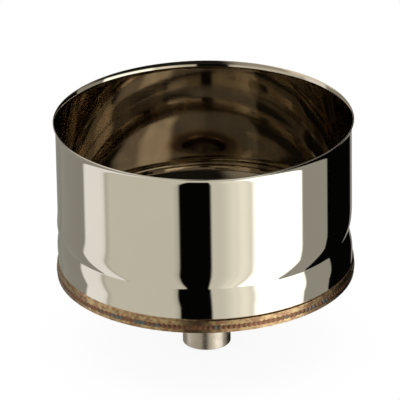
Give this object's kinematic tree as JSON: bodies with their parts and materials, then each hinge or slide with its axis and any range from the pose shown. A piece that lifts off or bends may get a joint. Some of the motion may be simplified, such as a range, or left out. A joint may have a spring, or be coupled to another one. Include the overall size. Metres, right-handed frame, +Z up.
{
  "type": "flue drain cone",
  "caption": "Short round stainless flue cap with a flared socket lip, a rolled crease, a shallow conical drain pan and a plain central drain spout below.",
  "frame": {"origin": "centre of the spout's lower end", "axes": "+Z up along the flue's axis, towards the open socket; -Y faces the camera of the picture"},
  "size_m": [0.1546, 0.1546, 0.126],
  "materials": {
    "sleeve_steel": "bright polished stainless sheet",
    "pan_steel": "bright rolled stainless sheet",
    "spout_steel": "satin stainless tube",
    "rim_weld_metal": "rippled seam weld with brown heat tint",
    "spout_weld_metal": "rippled fillet weld with straw heat tint"
  },
  "bodies": {
    "root": {"sleeve": "sleeve_steel", "drain_pan": "pan_steel", "drain_spout": "spout_steel", "rim_weld": "rim_weld_metal", "spout_weld": "spout_weld_metal"}
  },
  "joints": []
}
